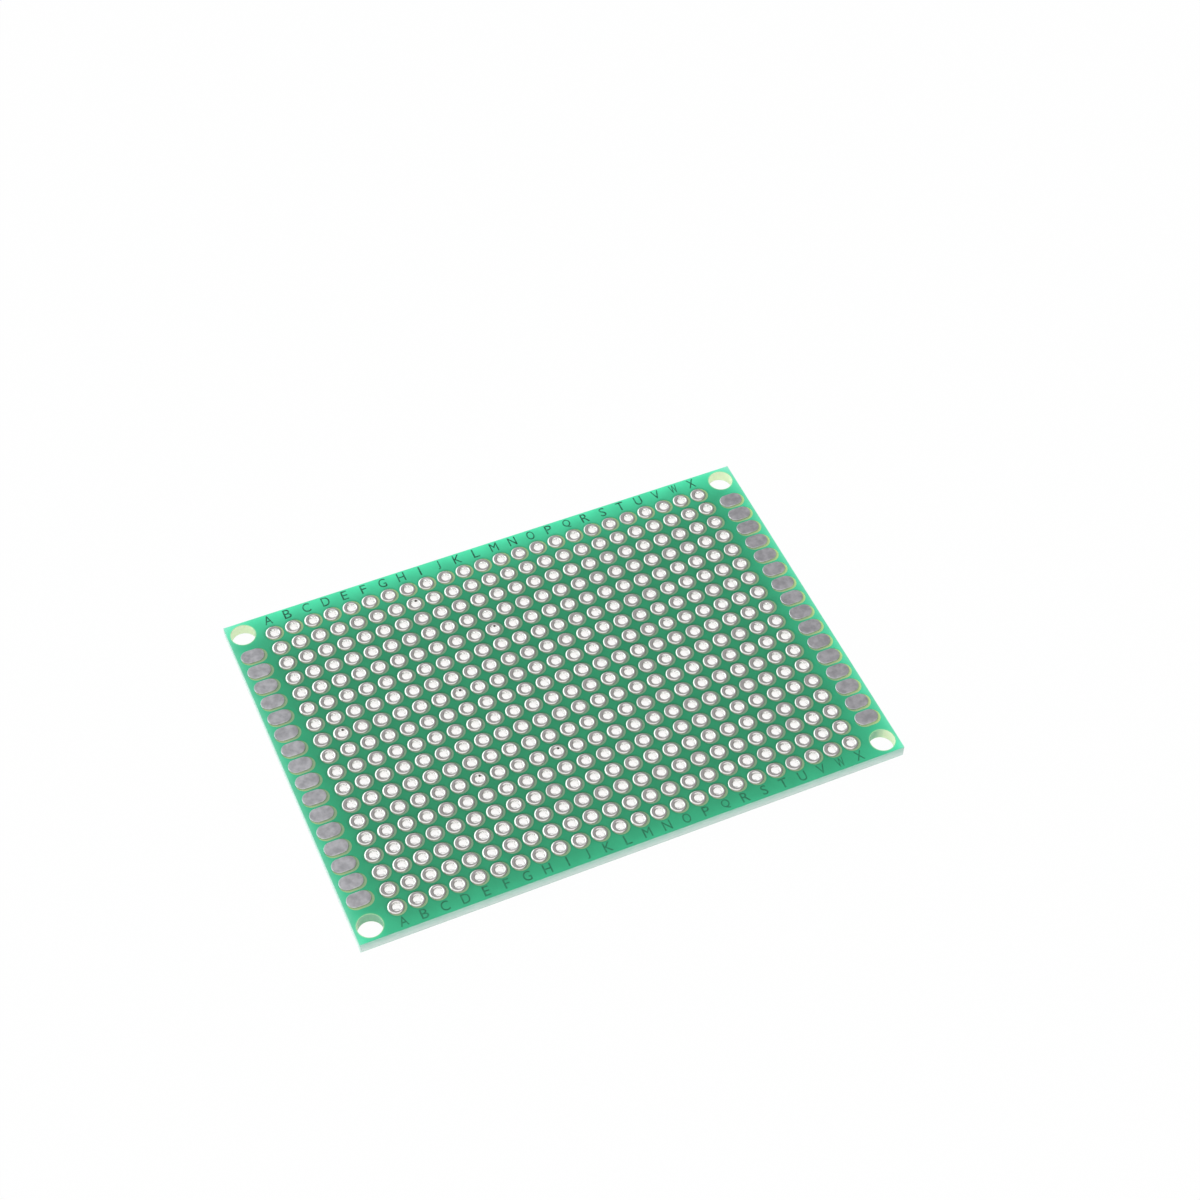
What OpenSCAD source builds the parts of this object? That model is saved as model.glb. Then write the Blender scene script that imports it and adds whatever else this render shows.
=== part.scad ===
// Double-sided prototype board: a drilled glass-epoxy core with a solder mask on each face,
// plated and tinned lead holes on a square grid, and a row of solder pads along each short side.
// Columns run along X and are lettered from A at the left. The board lies on its lower pads.

/* [Board] */
// Length of the board, along X
board_length = 69.7; // [68.4:0.1:100]
// Width of the board, along Y
board_width = 49.4; // [48:0.1:80]
// Thickness of the glass-epoxy core
core_thickness = 1.5; // [0.4:0.1:3.2]
// Thickness of the solder mask on each face
mask_thickness = 0.05; // [0.02:0.01:0.05]

/* [Lead holes] */
// Distance between neighbouring holes
pitch = 2.54; // [2.4:0.01:2.58]
// Number of columns, along the length
columns = 24; // [2:1:24]
// Number of rows, across the width
rows = 18; // [4:1:18]
// Bore of a finished lead hole
lead_hole_diameter = 1.0; // [0.6:0.05:1.2]
// Wall of the copper barrel in each hole
barrel_wall = 0.05; // [0.03:0.01:0.1]
// Diameter of the round pad at each end of a barrel
ring_diameter = 1.98; // [1.6:0.02:2.1]

/* [Edge pads] */
// Length of an edge pad, along X
edge_pad_length = 3.0; // [2.2:0.1:3.1]
// Width of an edge pad, along Y
edge_pad_width = 2.0; // [1.4:0.1:2.1]
// Distance from the end of the board to the edge pads
edge_pad_margin = 0.6; // [0.4:0.1:0.8]
// Corner rows left without an edge pad, at each end of a short side
rows_without_pad = 1; // [1:1:2]

/* [Finish] */
// Thickness of the copper pads
copper_thickness = 0.05; // [0.05:0.01:0.08]
// Height of the tin above the copper
tin_height = 0.1; // [0.04:0.01:0.12]
// Bare gap between a pad and the solder mask around it
mask_gap = 0.16; // [0.1:0.01:0.18]
// Sideways shift of the solder mask over the pads, along X
mask_shift_x = 0.03; // [-0.06:0.01:0.06]
// Sideways shift of the solder mask over the pads, along Y
mask_shift_y = -0.07; // [-0.07:0.01:0.07]

/* [Mounting holes] */
// Diameter of a mounting hole
mounting_hole_diameter = 3.1; // [2.2:0.1:3.3]
// Distance from the centre of a mounting hole to each of the two edges
mounting_hole_inset = 1.95; // [1.8:0.05:2.2]

/* [Hidden] */
$fn = 48;
// Overshoot that lets one outline pass cleanly through another
overlap = 0.01;

lead_hole_radius = lead_hole_diameter / 2;
drilled_radius = lead_hole_radius + barrel_wall;
ring_radius = ring_diameter / 2;
mask_shift = [mask_shift_x, mask_shift_y];

// Every pad stands this far off the core, so the lower pads are what the board lies on
pad_height = copper_thickness + tin_height;
core_bottom = pad_height;
core_top = core_bottom + core_thickness;
core_middle = core_bottom + core_thickness / 2;

// The tin on a ring is a low arch between the bore and the outer edge
tin_span = ring_radius - lead_hole_radius;
tin_arch_radius = (tin_span * tin_span / 4 + tin_height * tin_height) / (2 * tin_height);

edge_pad_x = board_length / 2 - edge_pad_margin - edge_pad_length / 2;
edge_pad_rows = [rows_without_pad : rows - 1 - rows_without_pad];

letters = "abcdefghijklmnopqrstuvwx";

function column_x(column) = (column - (columns - 1) / 2) * pitch;
function row_y(row) = ((rows - 1) / 2 - row) * pitch;
function column_name(column) = str("plated_holes_", letters[column]);

// Places its children at every lead hole
module at_lead_holes() {
    for (column = [0 : columns - 1], row = [0 : rows - 1])
        translate([column_x(column), row_y(row)]) children();
}

// Places its children at every edge pad of one short side, -1 for the left and 1 for the right
module at_edge_pads(side) {
    for (row = edge_pad_rows)
        translate([side * edge_pad_x, row_y(row)]) children();
}

// The rectangle of the board with its mounting holes
module board_outline() {
    difference() {
        square([board_length, board_width], center = true);
        for (side_x = [-1, 1], side_y = [-1, 1])
            translate([
                side_x * (board_length / 2 - mounting_hole_inset),
                side_y * (board_width / 2 - mounting_hole_inset)
            ])
                circle(d = mounting_hole_diameter);
    }
}

// A bar with round ends, grown by a margin all round
module edge_pad_outline(margin = 0) {
    end_radius = edge_pad_width / 2 + margin;
    straight = edge_pad_length - edge_pad_width;
    square([straight, 2 * end_radius], center = true);
    for (side = [-1, 1])
        translate([side * straight / 2, 0]) circle(r = end_radius);
}

// The core is drilled to take the barrels, and the mounting holes are bare
module laminate() {
    color([0.80, 0.88, 0.66])
        translate([0, 0, core_bottom])
            linear_extrude(core_thickness)
                difference() {
                    board_outline();
                    at_lead_holes() circle(r = drilled_radius);
                }
}

// One coat of solder mask, open round every pad, with its lowest face at the given height
module solder_mask(bottom) {
    color([0.20, 0.62, 0.45])
        translate([0, 0, bottom])
            linear_extrude(mask_thickness)
                difference() {
                    board_outline();
                    translate(mask_shift) {
                        at_lead_holes() circle(r = ring_radius + mask_gap);
                        for (side = [-1, 1])
                            at_edge_pads(side) edge_pad_outline(mask_gap);
                    }
                }
}

module solder_mask_top() {
    solder_mask(core_top);
}

module solder_mask_underside() {
    solder_mask(core_bottom - mask_thickness);
}

// Section of the round pad above the core, with the tin arched over the copper
module ring_section() {
    translate([lead_hole_radius, 0]) square([tin_span, copper_thickness]);
    intersection() {
        translate([lead_hole_radius + tin_span / 2, pad_height - tin_arch_radius])
            circle(r = tin_arch_radius);
        translate([lead_hole_radius, copper_thickness - overlap])
            square([tin_span, tin_height + 2 * overlap]);
    }
}

// Section of one plated hole: the barrel through the core and a round pad at each end
module plated_hole_section() {
    translate([lead_hole_radius, -core_thickness / 2 - overlap])
        square([barrel_wall, core_thickness + 2 * overlap]);
    for (flip = [0, 1])
        mirror([0, flip])
            translate([0, core_thickness / 2]) ring_section();
}

// One lettered column of plated holes
module plated_holes_column(column) {
    color([0.80, 0.80, 0.81])
        for (row = [0 : rows - 1])
            translate([column_x(column), row_y(row), core_middle])
                rotate_extrude() plated_hole_section();
}

// The edge pads of one short side on one face, flat and bright like the rings
module edge_pads(side, bottom) {
    color([0.66, 0.65, 0.67])
        translate([0, 0, bottom])
            at_edge_pads(side)
                linear_extrude(pad_height) edge_pad_outline();
}

module edge_pads_left_top() {
    edge_pads(-1, core_top);
}

module edge_pads_right_top() {
    edge_pads(1, core_top);
}

module edge_pads_left_underside() {
    edge_pads(-1, 0);
}

module edge_pads_right_underside() {
    edge_pads(1, 0);
}

laminate();
solder_mask_top();
solder_mask_underside();
edge_pads_left_top();
edge_pads_right_top();
edge_pads_left_underside();
edge_pads_right_underside();
for (column = [0 : columns - 1])
    plated_holes_column(column);
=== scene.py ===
import math
import random
import bmesh
import bpy
from mathutils import Matrix, Vector


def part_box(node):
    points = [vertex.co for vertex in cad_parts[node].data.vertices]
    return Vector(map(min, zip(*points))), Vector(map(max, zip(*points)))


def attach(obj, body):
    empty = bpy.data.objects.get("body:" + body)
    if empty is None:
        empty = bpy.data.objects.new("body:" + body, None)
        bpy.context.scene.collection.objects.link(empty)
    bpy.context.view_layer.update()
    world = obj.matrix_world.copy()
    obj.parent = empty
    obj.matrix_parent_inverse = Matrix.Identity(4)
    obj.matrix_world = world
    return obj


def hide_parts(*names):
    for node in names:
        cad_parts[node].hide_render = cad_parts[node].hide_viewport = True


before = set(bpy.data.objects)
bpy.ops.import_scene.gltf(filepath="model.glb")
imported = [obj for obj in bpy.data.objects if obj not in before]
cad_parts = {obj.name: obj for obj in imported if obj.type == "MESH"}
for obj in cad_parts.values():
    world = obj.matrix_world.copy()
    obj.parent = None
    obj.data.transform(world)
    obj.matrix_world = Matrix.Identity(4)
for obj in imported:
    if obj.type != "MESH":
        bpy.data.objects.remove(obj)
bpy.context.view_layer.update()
mm = 0.001

# the board's own levels and edges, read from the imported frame
boardLow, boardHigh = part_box("laminate")
coreBottom, coreTop = boardLow.z, boardHigh.z
coreMiddle = (coreBottom + coreTop) / 2
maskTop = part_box("solder_mask_top")[1].z
halfLength, halfWidth = boardHigh.x, boardHigh.y
columnNodes = sorted(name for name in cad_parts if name.startswith("plated_holes_"))

leadHoles = {"rows": 18, "pitch": 2.54}          # pitch in mm
mountingHoles = {"inset": 1.95, "radius": 1.55}  # mm
print("frame loaded,", len(columnNodes), "columns")

# camera

cameraSetup = {
    "place": (-68.31, -160.66, 235.93),  # mm from the board's centre
    "looksAt": (10.21, 10.48, 1.70),     # mm
    "roll": 1.24,                        # degrees
    "lens": 71.41,                       # mm
    "sensor": 36,                        # mm wide
    "clip": (0.01, 20),                  # m
}


def makeCamera(setup):
    data = bpy.data.cameras.new("camera")
    data.lens = setup["lens"]
    data.sensor_width = setup["sensor"]
    data.clip_start, data.clip_end = setup["clip"]
    camera = bpy.data.objects.new("camera", data)
    bpy.context.scene.collection.objects.link(camera)
    place = Vector(setup["place"]) * mm
    ahead = Vector(setup["looksAt"]) * mm - place
    turn = ahead.to_track_quat("-Z", "Y").to_matrix().to_4x4()
    roll = Matrix.Rotation(math.radians(setup["roll"]), 4, "Z")
    camera.matrix_world = Matrix.Translation(place) @ turn @ roll
    bpy.context.scene.camera = camera


makeCamera(cameraSetup)
print("camera placed")

# small helpers for node trees


def newMaterial(name):
    material = bpy.data.materials.new(name)
    material.use_nodes = True
    tree = material.node_tree
    tree.nodes.clear()
    output = tree.nodes.new("ShaderNodeOutputMaterial")
    return material, tree, output


def connect(tree, value, socket):  # a socket is linked, anything else is set as the value
    if isinstance(value, bpy.types.NodeSocket):
        tree.links.new(value, socket)
    else:
        socket.default_value = value


def principled(tree, output, **settings):
    node = tree.nodes.new("ShaderNodeBsdfPrincipled")
    for name, value in settings.items():
        connect(tree, value, node.inputs[name.replace("_", " ")])
    tree.links.new(node.outputs[0], output.inputs[0])


def maths(tree, operation, *values, clamp=False):
    node = tree.nodes.new("ShaderNodeMath")
    node.operation = operation
    node.use_clamp = clamp
    for socket, value in zip(node.inputs, values):
        connect(tree, value, socket)
    return node.outputs[0]


def mixColour(tree, factor, first, second):
    node = tree.nodes.new("ShaderNodeMix")
    node.data_type = "RGBA"
    connect(tree, factor, node.inputs[0])
    connect(tree, first, node.inputs[6])
    connect(tree, second, node.inputs[7])
    return node.outputs[2]


def spread(tree, value, low, high, toLow=0.0, toHigh=1.0):  # low to high becomes toLow to toHigh
    node = tree.nodes.new("ShaderNodeMapRange")
    for socket, part in zip(node.inputs, (value, low, high, toLow, toHigh)):
        connect(tree, part, socket)
    return node.outputs[0]


def alongWay(tree, direction, way):  # how far a direction points along a fixed one
    node = tree.nodes.new("ShaderNodeVectorMath")
    node.operation = "DOT_PRODUCT"
    tree.links.new(direction, node.inputs[0])
    node.inputs[1].default_value = way
    return node.outputs["Value"]


def shadeBy(tree, colour, amount):
    node = tree.nodes.new("ShaderNodeVectorMath")
    node.operation = "SCALE"
    tree.links.new(colour, node.inputs[0])
    tree.links.new(amount, node.inputs["Scale"])
    return node.outputs[0]


def objectPoint(tree):
    return tree.nodes.new("ShaderNodeTexCoord").outputs["Object"]


def axesOf(tree, vector):
    node = tree.nodes.new("ShaderNodeSeparateXYZ")
    tree.links.new(vector, node.inputs[0])
    return node.outputs


def noiseOn(tree, scale, detail, point=None):
    node = tree.nodes.new("ShaderNodeTexNoise")
    node.inputs["Scale"].default_value = scale
    node.inputs["Detail"].default_value = detail
    tree.links.new(point or objectPoint(tree), node.inputs["Vector"])
    return node.outputs["Fac"]


def bumpOn(tree, height, distance):
    node = tree.nodes.new("ShaderNodeBump")
    node.inputs["Strength"].default_value = 1.0
    node.inputs["Distance"].default_value = distance
    tree.links.new(height, node.inputs["Height"])
    return node.outputs["Normal"]


# studio: a pale floor, a grey sky with a round white window low on the left, and a soft box overhead

studio = {
    "floorSize": 6.0,           # m
    "floorGap": 0.02,           # mm under the lowest pads
    "floorColour": (0.92, 0.92, 0.92, 1),
    "floorWhite": 0.98,         # how far the camera sees the floor as plain white
    "overheadGrey": 0.40,
    "farWhite": 1.0,            # at the horizon behind the board
    "farTop": (0.28, 0.50),     # sine of the elevation where that white starts to fade, and ends
    "farWay": (-0.6, 1, 0),     # direction of its middle
    "farReach": (0.45, 0.75),   # how far a direction points that way where it starts, and is full
    "nearGrey": 0.95,           # at the horizon in front of the board
    "rightGrey": 0.28,          # and at its right
    "nearReach": (-0.7, -0.2),  # Y of the direction where the first turns into the second
    "nearTop": 0.45,            # sine of the elevation where the overhead grey begins
    "windowColour": (1.75, 1.95, 1.90, 1),
    "windowTurn": -44,          # degrees from +Y towards +X
    "windowRise": 14,           # degrees above the horizon
    "windowReach": (39, 49),    # degrees from its middle to where it starts to fade, and ends
}

softBox = {
    "place": (-90, -190, 520),  # mm from the board's centre
    "size": (0.80, 0.80),       # m
    "watts": 1.40,
}


def makeFloor(setup):
    bm = bmesh.new()
    bmesh.ops.create_grid(bm, x_segments=1, y_segments=1, size=setup["floorSize"] / 2)
    bmesh.ops.translate(bm, verts=bm.verts, vec=(0, 0, -setup["floorGap"] * mm))
    mesh = bpy.data.meshes.new("floor")
    bm.to_mesh(mesh)
    bm.free()
    floor = bpy.data.objects.new("floor", mesh)
    bpy.context.scene.collection.objects.link(floor)
    material, tree, output = newMaterial("paleFloor")
    diffuse = tree.nodes.new("ShaderNodeBsdfDiffuse")
    diffuse.inputs["Color"].default_value = setup["floorColour"]
    white = tree.nodes.new("ShaderNodeEmission")
    light = tree.nodes.new("ShaderNodeLightPath")
    seen = maths(tree, "MULTIPLY", light.outputs["Is Camera Ray"], setup["floorWhite"])
    mirrored = maths(tree, "MAXIMUM", light.outputs["Is Glossy Ray"], light.outputs["Is Transmission Ray"])
    mix = tree.nodes.new("ShaderNodeMixShader")
    tree.links.new(maths(tree, "MAXIMUM", seen, mirrored), mix.inputs[0])
    tree.links.new(diffuse.outputs[0], mix.inputs[1])
    tree.links.new(white.outputs[0], mix.inputs[2])
    tree.links.new(mix.outputs[0], output.inputs[0])
    mesh.materials.append(material)


def makeSky(setup):
    world = bpy.data.worlds.new("sky")
    bpy.context.scene.world = world
    world.use_nodes = True
    tree = world.node_tree
    tree.nodes.clear()
    background = tree.nodes.new("ShaderNodeBackground")
    output = tree.nodes.new("ShaderNodeOutputWorld")
    direction = tree.nodes.new("ShaderNodeTexCoord").outputs["Generated"]
    axes = axesOf(tree, direction)
    overhead = setup["overheadGrey"]
    far = spread(tree, axes["Z"], *setup["farTop"], setup["farWhite"], overhead)
    low = spread(tree, axes["Y"], *setup["nearReach"], setup["nearGrey"], setup["rightGrey"])
    near = spread(tree, axes["Z"], 0.0, setup["nearTop"], low, overhead)
    behind = spread(tree, alongWay(tree, direction, setup["farWay"]), *setup["farReach"])
    grey = mixColour(tree, behind, near, far)
    turn, rise = math.radians(setup["windowTurn"]), math.radians(setup["windowRise"])
    windowWay = (math.sin(turn) * math.cos(rise), math.cos(turn) * math.cos(rise), math.sin(rise))
    inner, outer = (math.cos(math.radians(reach)) for reach in setup["windowReach"])
    window = spread(tree, alongWay(tree, direction, windowWay), outer, inner)
    sky = mixColour(tree, window, grey, setup["windowColour"])
    seen = tree.nodes.new("ShaderNodeLightPath").outputs["Is Camera Ray"]
    tree.links.new(mixColour(tree, seen, sky, (1, 1, 1, 1)), background.inputs["Color"])
    tree.links.new(background.outputs[0], output.inputs[0])


def makeSoftBox(box):
    data = bpy.data.lights.new("overhead", "AREA")
    data.shape = "RECTANGLE"
    data.size, data.size_y = box["size"]
    data.energy = box["watts"]
    lamp = bpy.data.objects.new("overhead", data)
    lamp.location = Vector(box["place"]) * mm
    lamp.rotation_euler = (-lamp.location).to_track_quat("-Z", "Y").to_euler()
    bpy.context.scene.collection.objects.link(lamp)


makeFloor(studio)
makeSky(studio)
makeSoftBox(softBox)
print("studio lit")

# shared effect: light that comes through the laminate near the edges and corners of the board

edgeLight = {
    "far": 1.1,          # how strong it is at each edge
    "near": 0.35,
    "left": 0.6,
    "right": 0.9,
    "corner": 0.85,
    "reach": 2.4,        # mm in from an edge
    "cornerReach": 3.5,  # mm from a corner
}


def makeEdgeGlowGroup():
    group = bpy.data.node_groups.new("edgeGlow", "ShaderNodeTree")
    names = ("Far", "Near", "Left", "Right", "Corner", "Reach", "Corner Reach")
    for name in names:
        group.interface.new_socket(name, in_out="INPUT", socket_type="NodeSocketFloat")
    group.interface.new_socket("Glow", in_out="OUTPUT", socket_type="NodeSocketFloat")
    inputs = group.nodes.new("NodeGroupInput").outputs
    output = group.nodes.new("NodeGroupOutput")
    axes = axesOf(group, objectPoint(group))
    x, y = axes["X"], axes["Y"]

    def fade(distance, amount, reach):  # falls off with distance from an edge
        steps = maths(group, "DIVIDE", distance, reach)
        fall = maths(group, "EXPONENT", maths(group, "MULTIPLY", steps, -1.0))
        return maths(group, "MULTIPLY", amount, fall)

    far = fade(maths(group, "SUBTRACT", halfWidth, y), inputs["Far"], inputs["Reach"])
    near = fade(maths(group, "ADD", halfWidth, y), inputs["Near"], inputs["Reach"])
    right = fade(maths(group, "SUBTRACT", halfLength, x), inputs["Right"], inputs["Reach"])
    left = fade(maths(group, "ADD", halfLength, x), inputs["Left"], inputs["Reach"])
    inX = maths(group, "SUBTRACT", halfLength, maths(group, "ABSOLUTE", x))
    inY = maths(group, "SUBTRACT", halfWidth, maths(group, "ABSOLUTE", y))
    squares = maths(group, "ADD", maths(group, "MULTIPLY", inX, inX), maths(group, "MULTIPLY", inY, inY))
    corner = fade(maths(group, "SQRT", squares), inputs["Corner"], inputs["Corner Reach"])
    three = group.nodes.new("ShaderNodeCombineXYZ")
    group.links.new(maths(group, "ADD", far, near), three.inputs[0])
    group.links.new(maths(group, "ADD", left, right), three.inputs[1])
    group.links.new(corner, three.inputs[2])
    length = group.nodes.new("ShaderNodeVectorMath")
    length.operation = "LENGTH"
    group.links.new(three.outputs[0], length.inputs[0])
    group.links.new(length.outputs["Value"], output.inputs["Glow"])
    return group


edgeGlowGroup = makeEdgeGlowGroup()


def edgeGlow(tree, light):
    node = tree.nodes.new("ShaderNodeGroup")
    node.node_tree = edgeGlowGroup
    values = (light["far"], light["near"], light["left"], light["right"], light["corner"],
              light["reach"] * mm, light["cornerReach"] * mm)
    for socket, value in zip(node.inputs, values):
        socket.default_value = value
    return node.outputs["Glow"]


# shared shape: how far a point is from the middle of the nearest mounting hole


def makeHoleDistanceGroup(holes):
    group = bpy.data.node_groups.new("holeDistance", "ShaderNodeTree")
    group.interface.new_socket("Distance", in_out="OUTPUT", socket_type="NodeSocketFloat")
    output = group.nodes.new("NodeGroupOutput")
    axes = axesOf(group, objectPoint(group))
    inset = holes["inset"] * mm
    x = maths(group, "SUBTRACT", maths(group, "ABSOLUTE", axes["X"]), halfLength - inset)
    y = maths(group, "SUBTRACT", maths(group, "ABSOLUTE", axes["Y"]), halfWidth - inset)
    squares = maths(group, "ADD", maths(group, "MULTIPLY", x, x), maths(group, "MULTIPLY", y, y))
    group.links.new(maths(group, "SQRT", squares), output.inputs["Distance"])
    return group


holeDistanceGroup = makeHoleDistanceGroup(mountingHoles)


def holeDistance(tree):
    node = tree.nodes.new("ShaderNodeGroup")
    node.node_tree = holeDistanceGroup
    return node.outputs["Distance"]


# solder mask: thin glossy green coat, paler at the rims of the mounting holes, and darker round the pads
# with painted shade

maskFinish = {
    "deep": (0.020, 0.300, 0.138, 1),
    "lit": (0.086, 0.90, 0.49, 1),
    "glare": (0.26, 1.0, 0.68, 1),  # at the corners
    "glareFrom": (1.0, 1.45),       # glow where it starts, and is full
    "pale": (0.80, 0.78, 0.90, 1),  # at the cut along the short sides
    "paleShare": 0.14,
    "paleReach": 0.45,              # mm
    "roughness": 0.34,
    "mottle": 0.07,
    "mottleScale": 420.0,           # per m
    "mottleFrom": (0.3, 0.7),       # noise that is darkest, and palest
    "weaveScale": 2600.0,           # per m
    "weaveHeight": 0.004,           # mm
    "rim": (0.60, 0.90, 0.48, 1),
    "rimReach": 0.05,               # mm
    "padShade": 0.22,                   # painted shade: how much darker the green is at an opening
    "padShadeReach": (1.12, 1.42),      # mm from the middle of a pad
    "gridHalf": (30.6, 22.95),      # mm, half of the length and width that the rings take
}


# painted shade: the pads hold back the light that comes through the laminate, so the mask round them is
# darker
def paintedPadShade(tree, finish):  # 1 at the openings round the rings, 0 away from them
    half = leadHoles["pitch"] / 2 * mm
    squares = []
    inGrid = 1.0
    for axis, reach in zip(axesOf(tree, objectPoint(tree)), finish["gridHalf"]):
        apart = maths(tree, "SUBTRACT", half, maths(tree, "PINGPONG", axis, half))
        squares.append(maths(tree, "MULTIPLY", apart, apart))
        inside = maths(tree, "LESS_THAN", maths(tree, "ABSOLUTE", axis), reach * mm)
        inGrid = maths(tree, "MULTIPLY", inside, inGrid)
    apart = maths(tree, "SQRT", maths(tree, "ADD", *squares))
    near, far = finish["padShadeReach"]
    return maths(tree, "MULTIPLY", inGrid, spread(tree, apart, near * mm, far * mm, 1.0, 0.0))


def maskColour(tree, finish, light):
    glow = edgeGlow(tree, light)
    base = mixColour(tree, glow, finish["deep"], finish["lit"])
    base = mixColour(tree, spread(tree, glow, *finish["glareFrom"]), base, finish["glare"])
    x = axesOf(tree, objectPoint(tree))["X"]
    fromEnd = maths(tree, "SUBTRACT", halfLength, maths(tree, "ABSOLUTE", x))
    pale = maths(tree, "EXPONENT", maths(tree, "DIVIDE", fromEnd, -finish["paleReach"] * mm))
    return mixColour(tree, maths(tree, "MULTIPLY", pale, finish["paleShare"]), base, finish["pale"])


def makeMaskMaterial(name, finish, light):
    material, tree, output = newMaterial(name)
    mottle = spread(tree, noiseOn(tree, finish["mottleScale"], 4.0), *finish["mottleFrom"],
                    1.0 - finish["mottle"], 1.0 + finish["mottle"])
    # painted shade round the pads
    padShade = spread(tree, paintedPadShade(tree, finish), 0.0, 1.0, 1.0, 1.0 - finish["padShade"])
    green = shadeBy(tree, maskColour(tree, finish, light), maths(tree, "MULTIPLY", mottle, padShade))
    fromRim = maths(tree, "SUBTRACT", holeDistance(tree), mountingHoles["radius"] * mm)
    rim = maths(tree, "EXPONENT", maths(tree, "DIVIDE", fromRim, -finish["rimReach"] * mm), clamp=True)
    weave = noiseOn(tree, finish["weaveScale"], 2.0)
    principled(tree, output, Base_Color=mixColour(tree, rim, green, finish["rim"]),
               Roughness=finish["roughness"],
               Normal=bumpOn(tree, weave, finish["weaveHeight"] * mm))
    return material


# bare glass-epoxy: cut edges, hole walls and the narrow gap round each pad

laminateFinish = {
    "cutEdge": (0.36, 0.70, 0.56, 1),
    # painted light: the cut edge pales to near white at its foot, where light comes up through the
    # laminate from beneath
    "cutEdgeFootGlow": (0.86, 0.98, 0.94, 1),
    "thread": (0.94, 0.99, 0.95, 1),
    "threadShare": 0.45,
    "threadScale": 900.0,               # per m
    "threadStretch": 9,                 # how much finer the threads lie one above the other
    "threadFrom": (0.45, 0.75),         # noise where a thread starts, and is full
    "threadHeight": 0.03,               # mm
    "holeWall": (0.36, 0.68, 0.50, 1),
    "holeWallLit": (0.86, 0.95, 0.66, 1),
    "holeGlow": (0.15, 0.15, 0.13, 1),  # light that comes through the laminate
    "holeLitFrom": (0.47, 0.74),        # edge glow where a wall starts to be lit, and is fully lit
    "wallReach": 0.2,                   # mm round a mounting hole
    "bareTop": (0.22, 0.36, 0.23, 1),
    "bareLit": (0.74, 0.94, 0.36, 1),   # near the edges of the board
    "topDepth": 0.002,                  # mm under the core's top face that still counts as top
    "roughness": 0.55,
}


def makeLaminateMaterial(name, finish, light):
    material, tree, output = newMaterial(name)
    z = axesOf(tree, objectPoint(tree))["Z"]
    up = spread(tree, z, coreBottom, coreTop)
    # painted light: paler towards the foot of the cut edge
    edge = mixColour(tree, up, finish["cutEdgeFootGlow"], finish["cutEdge"])
    stretch = tree.nodes.new("ShaderNodeMapping")
    stretch.inputs["Scale"].default_value = (1, 1, finish["threadStretch"])
    tree.links.new(objectPoint(tree), stretch.inputs[0])
    threads = noiseOn(tree, finish["threadScale"], 3.0, stretch.outputs[0])
    onThread = spread(tree, threads, *finish["threadFrom"], 0.0, finish["threadShare"])
    edge = mixColour(tree, onThread, edge, finish["thread"])
    wall = (mountingHoles["radius"] + finish["wallReach"]) * mm
    inHole = maths(tree, "LESS_THAN", holeDistance(tree), wall)
    glow = edgeGlow(tree, light)
    lit = spread(tree, glow, *finish["holeLitFrom"])
    colour = mixColour(tree, inHole, edge, mixColour(tree, lit, finish["holeWall"], finish["holeWallLit"]))
    onTop = maths(tree, "GREATER_THAN", z, coreTop - finish["topDepth"] * mm)
    bare = mixColour(tree, glow, finish["bareTop"], finish["bareLit"])
    litWall = maths(tree, "MULTIPLY", inHole, lit)
    principled(tree, output, Base_Color=mixColour(tree, onTop, colour, bare),
               Roughness=finish["roughness"],
               Emission_Color=mixColour(tree, litWall, (0, 0, 0, 1), finish["holeGlow"]),
               Emission_Strength=1.0,
               Normal=bumpOn(tree, threads, finish["threadHeight"] * mm))
    return material


# tin: bright on the rings, duller towards their feet and on the flat edge pads

ringFinish = {
    "crest": (0.82, 0.79, 0.78, 1),
    "foot": (0.50, 0.49, 0.44, 1),
    "roughness": 0.10,
    "footRoughness": 0.28,
    "grain": 1500.0,      # per m
    "grainHeight": 0.02,  # mm
}

barrelFinish = {
    "colour": (0.98, 0.975, 0.965, 1),
    "roughness": (0.06, 0.16),
    "grain": 1500.0,          # per m
    "grainFrom": (0.3, 0.7),  # noise where it is smoothest, and roughest
}

padFinish = {
    "light": (0.80, 0.775, 0.82, 1),
    "dark": (0.56, 0.545, 0.58, 1),
    "roughness": 0.34,
    "grain": 1300.0,            # per m
    "grainFrom": (0.35, 0.65),  # noise that is darkest, and lightest
    "grainHeight": 0.006,       # mm
}


def makeRingMaterial(name, finish):
    material, tree, output = newMaterial(name)
    rise = tree.nodes.new("ShaderNodeAttribute")
    rise.attribute_name = "rise"
    height = rise.outputs["Fac"]
    grain = noiseOn(tree, finish["grain"], 3.0)
    principled(tree, output, Metallic=1.0,
               Base_Color=mixColour(tree, height, finish["foot"], finish["crest"]),
               Roughness=spread(tree, height, 0.0, 1.0, finish["footRoughness"], finish["roughness"]),
               Normal=bumpOn(tree, grain, finish["grainHeight"] * mm))
    return material


def makeBarrelMaterial(name, finish):
    material, tree, output = newMaterial(name)
    grain = noiseOn(tree, finish["grain"], 3.0)
    principled(tree, output, Metallic=1.0, Base_Color=finish["colour"],
               Roughness=spread(tree, grain, *finish["grainFrom"], *finish["roughness"]))
    return material


def makePadMaterial(name, finish):
    material, tree, output = newMaterial(name)
    grain = noiseOn(tree, finish["grain"], 5.0)
    lightness = spread(tree, grain, *finish["grainFrom"])
    principled(tree, output, Metallic=1.0,
               Base_Color=mixColour(tree, lightness, finish["dark"], finish["light"]),
               Roughness=finish["roughness"],
               Normal=bumpOn(tree, grain, finish["grainHeight"] * mm))
    return material


# letters: copper under the mask, so a patchy green, darker than the mask partly for the copper's own tone
# and partly with painted shade, where the copper holds back the light that comes through the laminate

letterFinish = {
    "share": {"far": 0.08, "near": 0.34},  # of the mask's green, in each row of letters; the darkening is partly painted shade
    "patchy": 0.4,
    "patchScale": 2500.0,                  # per m
    "patchFrom": (0.35, 0.75),             # noise that is darkest, and lightest
    "roughness": 0.36,
}


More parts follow.
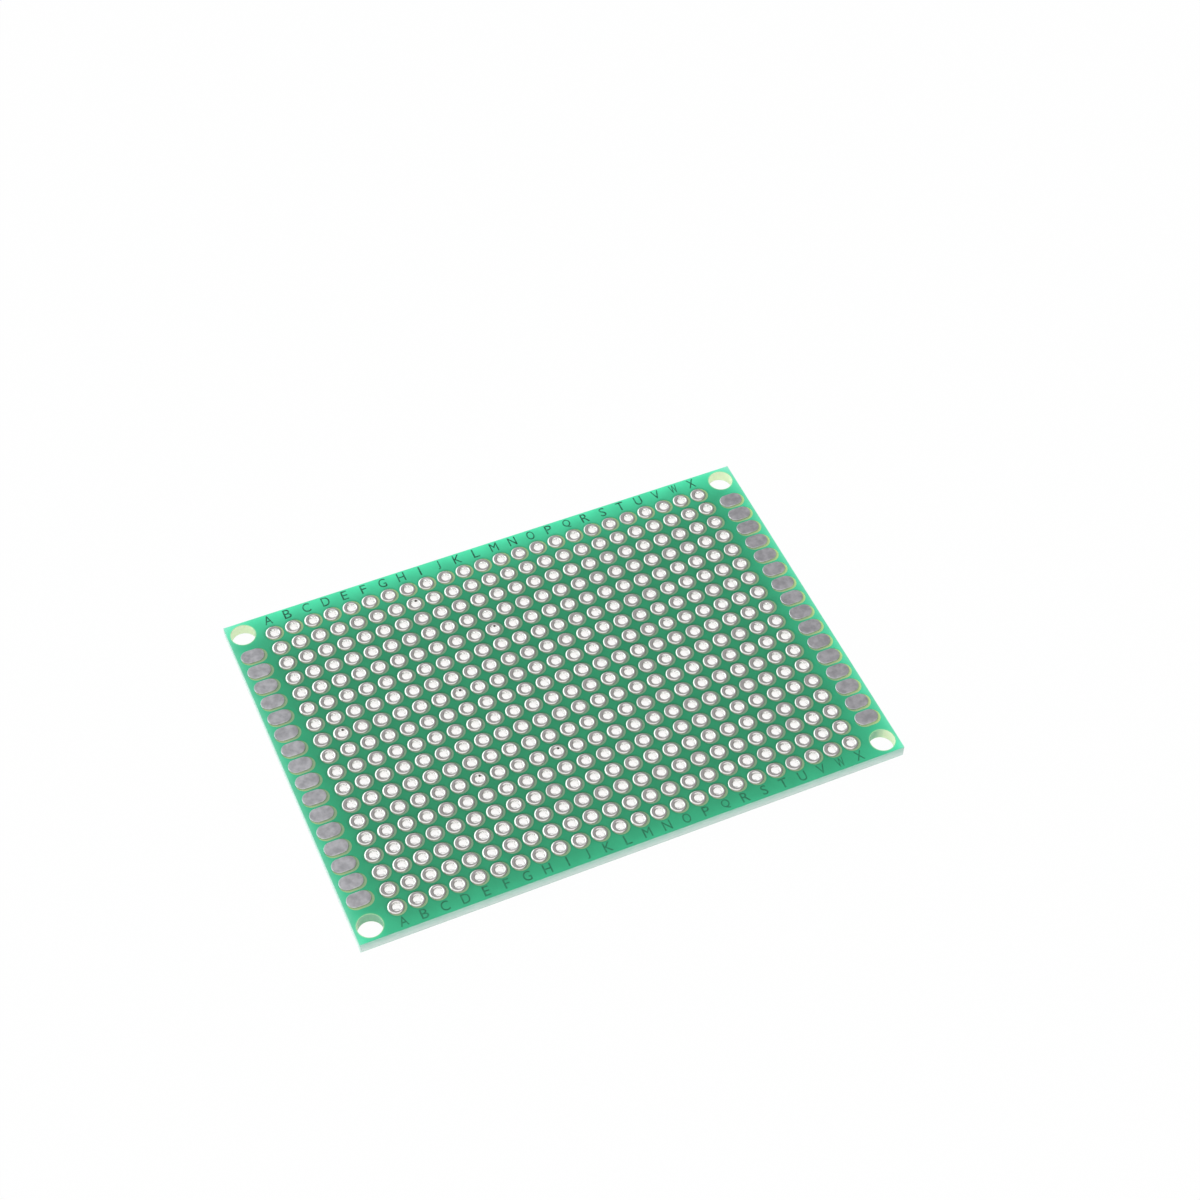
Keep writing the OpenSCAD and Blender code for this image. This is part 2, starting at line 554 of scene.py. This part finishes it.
def makeLetterMaterial(name, side, finish, mask, light):
    material, tree, output = newMaterial(name)
    # painted shade, with the copper's own tone: the letters take only a share of the mask's green
    share = finish["share"][side]
    patches = spread(tree, noiseOn(tree, finish["patchScale"], 2.0), *finish["patchFrom"],
                     share, share + (1 - share) * finish["patchy"])
    principled(tree, output, Base_Color=shadeBy(tree, maskColour(tree, mask, light), patches),
               Roughness=finish["roughness"])
    return material


maskMaterial = makeMaskMaterial("greenMask", maskFinish, edgeLight)
laminateMaterial = makeLaminateMaterial("glassEpoxy", laminateFinish, edgeLight)
ringMaterial = makeRingMaterial("ringTin", ringFinish)
barrelMaterial = makeBarrelMaterial("barrelTin", barrelFinish)
padMaterial = makePadMaterial("padTin", padFinish)
farLetterMaterial = makeLetterMaterial("farLetterGreen", "far", letterFinish, maskFinish, edgeLight)
nearLetterMaterial = makeLetterMaterial("nearLetterGreen", "near", letterFinish, maskFinish, edgeLight)
print("materials made")


def dress(node, material):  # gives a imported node's own object a new material
    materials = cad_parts[node].data.materials
    materials.clear()
    materials.append(material)


dress("laminate", laminateMaterial)
dress("solder_mask_top", maskMaterial)
dress("solder_mask_underside", maskMaterial)


def finishPiece(bm, name, materials, slotName, *nodes):  # nodes are those that the piece replaces
    bmesh.ops.recalc_face_normals(bm, faces=bm.faces)
    mesh = bpy.data.meshes.new(name)
    bm.to_mesh(mesh)
    bm.free()
    for material in materials:
        mesh.materials.append(material)
    piece = bpy.data.objects.new(name, mesh)
    bpy.context.scene.collection.objects.link(piece)
    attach(piece, "root")
    if nodes:
        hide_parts(*nodes)


# plated holes: one column of barrels with a tinned ring at each end

ringShape = {
    "boreRadius": 0.54,          # mm, all sizes
    "drillRadius": 0.55,
    "padRadius": 1.05,
    "padShift": (-0.115, 0.06),  # of the copper and its tin from the drilled hole, on both faces
    "copper": 0.05,
    "tin": 0.08,
    "crestFrom": 0.625,          # share of the tin's height from which it has the crest's finish
    "lip": 0.02,                 # height of the tin's rounded edge in the bore
    "section": ((0.57, 0.055), (0.64, 0.093), (0.72, 0.122), (0.78, 0.13), (0.86, 0.126), (0.92, 0.102),
                (0.965, 0.065), (1.015, 0.025)),  # radius and height of the tin's surface
    "steps": 16,
    "unevenTin": 0.45,           # share of the tin that a hole may lack
    "leaningTin": 0.40,          # share that it may lean to one side
}


def ringProfile(shape):
    half = (coreTop - coreBottom) / 2 / mm
    upper = [(shape["boreRadius"], half + shape["lip"])]
    upper += [(radius, half + height) for radius, height in shape["section"]]
    upper += [(shape["padRadius"], half), (shape["drillRadius"], half)]
    return upper + [(radius, -height) for radius, height in reversed(upper)]


def addPlatedHole(bm, x, y, shape, rise, rng):
    copper = (coreTop - coreBottom) / 2 + shape["copper"] * mm
    bore, width = shape["boreRadius"] * mm, (shape["padRadius"] - shape["boreRadius"]) * mm
    start = len(bm.verts)
    faceStart = len(bm.faces)
    corners = [bm.verts.new((x + radius * mm, y, coreMiddle + height * mm))
               for radius, height in ringProfile(shape)]
    edges = [bm.edges.new((corners[i - 1], corners[i])) for i in range(len(corners))]
    bmesh.ops.spin(bm, geom=corners + edges, cent=(x, y, 0), axis=(0, 0, 1), angle=math.tau,
                   steps=shape["steps"], use_merge=True, use_duplicate=False)
    bm.verts.ensure_lookup_table()
    bm.faces.ensure_lookup_table()

    # the tin's height differs at each end, and it leans a little
    lean = rng.uniform(0, math.tau)
    full = {side: 1 - shape["unevenTin"] * rng.random() ** 2 for side in (-1, 1)}
    tilt = shape["leaningTin"] * rng.random()
    for vert in bm.verts[start:]:
        height = vert.co.z - coreMiddle
        side = 1 if height > 0 else -1
        tin = abs(height) - copper
        if tin > 0:
            angle = math.atan2(vert.co.y - y, vert.co.x - x)
            share = full[side] * (1 - tilt * (0.5 + 0.5 * math.cos(angle - lean)))
            vert.co.z = coreMiddle + side * (copper + tin * share)
        vert[rise] = min(1.0, max(0.0, tin / (shape["tin"] * shape["crestFrom"] * mm)))

    # the copper's outer edge is off the drilled hole, and the bore isn't
    for vert in bm.verts[start:]:
        outward = (math.hypot(vert.co.x - x, vert.co.y - y) - bore) / width
        vert.co.x += shape["padShift"][0] * mm * outward
        vert.co.y += shape["padShift"][1] * mm * outward
    wall = (shape["boreRadius"] + shape["drillRadius"]) / 2 * mm
    for face in bm.faces[faceStart:]:
        centre = face.calc_center_median()
        face.smooth = True
        inside = math.hypot(centre.x - x, centre.y - y) < wall
        face.material_index = 1 if inside else 0


def makePlatedColumn(node, shape, holes):
    low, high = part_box(node)
    x = (low.x + high.x) / 2
    middle = (low.y + high.y) / 2
    rng = random.Random(node)
    bm = bmesh.new()
    rise = bm.verts.layers.float.new("rise")
    for row in range(holes["rows"]):
        y = middle + ((holes["rows"] - 1) / 2 - row) * holes["pitch"] * mm
        addPlatedHole(bm, x, y, shape, rise, rng)
    finishPiece(bm, "tinned_" + node, [ringMaterial, barrelMaterial], "ring_tin", node)


for columnNode in columnNodes:
    makePlatedColumn(columnNode, ringShape, leadHoles)
print("plated holes made")

# flux spots: small dark beads left in the mouths of a few holes

fluxSpots = {
    "places": {"b": (8,), "g": (13,), "h": (2, 8), "k": (5, 13)},  # column, and rows from the far side
    "offset": (0.22, 0.45),     # mm from the middle of the hole
    "radius": 0.15,             # mm
    "height": 0.12,             # mm
    "uneven": 0.2,              # share by which a bead's radius and its width may differ
    "colour": (0.03, 0.028, 0.025, 1),
    "paleColour": (0.12, 0.10, 0.08, 1),
    "roughness": 0.45,
    "grain": 5000.0,            # per m
    "grainHeight": 0.01,        # mm
}


def makeFluxSpots(spots, holes):
    material, tree, output = newMaterial("flux")
    grain = noiseOn(tree, spots["grain"], 3.0)
    principled(tree, output, Roughness=spots["roughness"],
               Base_Color=mixColour(tree, grain, spots["colour"], spots["paleColour"]),
               Normal=bumpOn(tree, grain, spots["grainHeight"] * mm))
    rng = random.Random("flux")
    least, most = 1 - spots["uneven"], 1 + spots["uneven"]
    bm = bmesh.new()
    for column, rows in spots["places"].items():
        low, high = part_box("plated_holes_" + column)
        for row in rows:
            radius = spots["radius"] * mm * rng.uniform(least, most)
            ball = bmesh.ops.create_icosphere(bm, subdivisions=2, radius=radius)["verts"]
            stretch = (rng.uniform(least, most), 1, spots["height"] * mm / radius)
            bmesh.ops.scale(bm, verts=ball, vec=stretch)
            x = (low.x + high.x) / 2 + spots["offset"][0] * mm
            rowY = (low.y + high.y) / 2 + ((holes["rows"] + 1) / 2 - row) * holes["pitch"] * mm
            bmesh.ops.translate(bm, verts=ball, vec=(x, rowY + spots["offset"][1] * mm, coreTop))
    for face in bm.faces:
        face.smooth = True
    finishPiece(bm, "flux_spots", [material], "ring_tin")


makeFluxSpots(fluxSpots, leadHoles)
print("flux spots made")

# edge pads: flat bars with round ends, under a thin uneven coat of tin

padShape = {
    "rows": 16,
    "width": 2.0,         # mm, all sizes
    "copper": 0.05,
    "tin": 0.10,
    "steps": 32,
    "rounding": ((0.02, 0.55), (0.06, 0.93), (0.25, 0.98)),  # inset from the outline, share of the tin
    "wave": 0.05,         # share of the tin
    "flat": 0.97,         # upward part of a face's normal from which it is shaded flat
    "shift": {"left": (-0.12, 0.10), "right": (-0.07, 0.10)},  # from the openings in the mask
}


def addEdgePad(bm, x, y, length, shape, rng):
    radius = shape["width"] / 2 * mm
    straight = length / 2 - radius
    disc = bmesh.ops.create_circle(bm, cap_ends=True, segments=shape["steps"], radius=radius)
    outline = disc["verts"]
    for vert in outline:
        if abs(vert.co.x) > 1e-7:  # the two points on the disc's middle line stay
            vert.co.x += math.copysign(straight, vert.co.x)
    face = outline[0].link_faces[0]
    bmesh.ops.translate(bm, verts=outline, vec=(x, y, coreTop))
    raised = bmesh.ops.extrude_face_region(bm, geom=[face])["geom"]
    top = next(item for item in raised if isinstance(item, bmesh.types.BMFace))
    bmesh.ops.translate(bm, verts=top.verts, vec=(0, 0, shape["copper"] * mm))
    inset = 0.0
    height = 0.0
    for reach, share in shape["rounding"]:
        bmesh.ops.inset_individual(bm, faces=[top], thickness=(reach - inset) * mm, depth=0)
        level = share * shape["tin"] * mm * (1 - shape["wave"] * rng.random())
        bmesh.ops.translate(bm, verts=top.verts, vec=(0, 0, level - height))
        inset, height = reach, level


def makeEdgePads(node, shape):
    low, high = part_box(node)
    shift = shape["shift"]["left" if "left" in node else "right"]
    x = (low.x + high.x) / 2 + shift[0] * mm
    firstRow = high.y - (shape["width"] / 2 - shift[1]) * mm
    pitch = (high.y - low.y - shape["width"] * mm) / (shape["rows"] - 1)
    rng = random.Random(node)
    bm = bmesh.new()
    for row in range(shape["rows"]):
        addEdgePad(bm, x, firstRow - row * pitch, high.x - low.x, shape, rng)
    bm.normal_update()
    for face in bm.faces:
        face.smooth = abs(face.normal.z) < shape["flat"]
    if node.endswith("underside"):
        turn = Matrix.Rotation(math.pi, 4, "X")
        bmesh.ops.transform(bm, matrix=turn, space=Matrix.Translation((0, 0, -coreMiddle)), verts=bm.verts)
    finishPiece(bm, "tinned_" + node, [padMaterial], "edge_pad_tin", node)


for padNode in sorted(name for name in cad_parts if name.startswith("edge_pads_")):
    makeEdgePads(padNode, padShape)
print("edge pads made")

# column letters, raised a little under the mask

letterShape = {
    "width": 1.0,        # mm, all sizes
    "thickness": 0.012,
    "curveSteps": 4,
    "far": {"height": 1.40, "fromEdge": 0.92, "shift": -0.12},
    "near": {"height": 1.32, "fromEdge": 1.04, "shift": 0.03},
}


def letterMesh(letter, shape):  # 1 thick, and of any width and height
    curve = bpy.data.curves.new("letter", "FONT")
    curve.body = letter
    curve.resolution_u = shape["curveSteps"]
    curve.extrude = 0.5
    text = bpy.data.objects.new("letter", curve)
    bpy.context.scene.collection.objects.link(text)
    bpy.context.view_layer.update()
    mesh = bpy.data.meshes.new_from_object(text.evaluated_get(bpy.context.evaluated_depsgraph_get()))
    bpy.data.objects.remove(text)
    bpy.data.curves.remove(curve)
    return mesh


def addLetter(bm, letter, x, y, height, shape):
    mesh = letterMesh(letter, shape)
    start = len(bm.verts)
    bm.from_mesh(mesh)
    bpy.data.meshes.remove(mesh)
    bm.verts.ensure_lookup_table()
    points = bm.verts[start:]
    xs = [vert.co.x for vert in points]
    ys = [vert.co.y for vert in points]
    scaleY = height * mm / (max(ys) - min(ys))
    scaleX = min(shape["width"] * mm / (max(xs) - min(xs)), scaleY)
    middle = ((max(xs) + min(xs)) / 2, (max(ys) + min(ys)) / 2)
    for vert in points:
        vert.co.x = x + (vert.co.x - middle[0]) * scaleX
        vert.co.y = y + (vert.co.y - middle[1]) * scaleY
        vert.co.z = maskTop + vert.co.z * 2 * shape["thickness"] * mm  # its lower half is in the mask


def makeLetters(side, material, shape):
    row = shape[side]
    y = halfWidth - row["fromEdge"] * mm
    bm = bmesh.new()
    for node in columnNodes:
        low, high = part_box(node)
        x = (low.x + high.x) / 2 + row["shift"] * mm
        addLetter(bm, node[-1].upper(), x, y if side == "far" else -y, row["height"], shape)
    finishPiece(bm, "column_letters_" + side, [material], "solder_mask")


makeLetters("far", farLetterMaterial, letterShape)
makeLetters("near", nearLetterMaterial, letterShape)
print("letters made")

bpy.context.scene.view_settings.view_transform = "Standard"
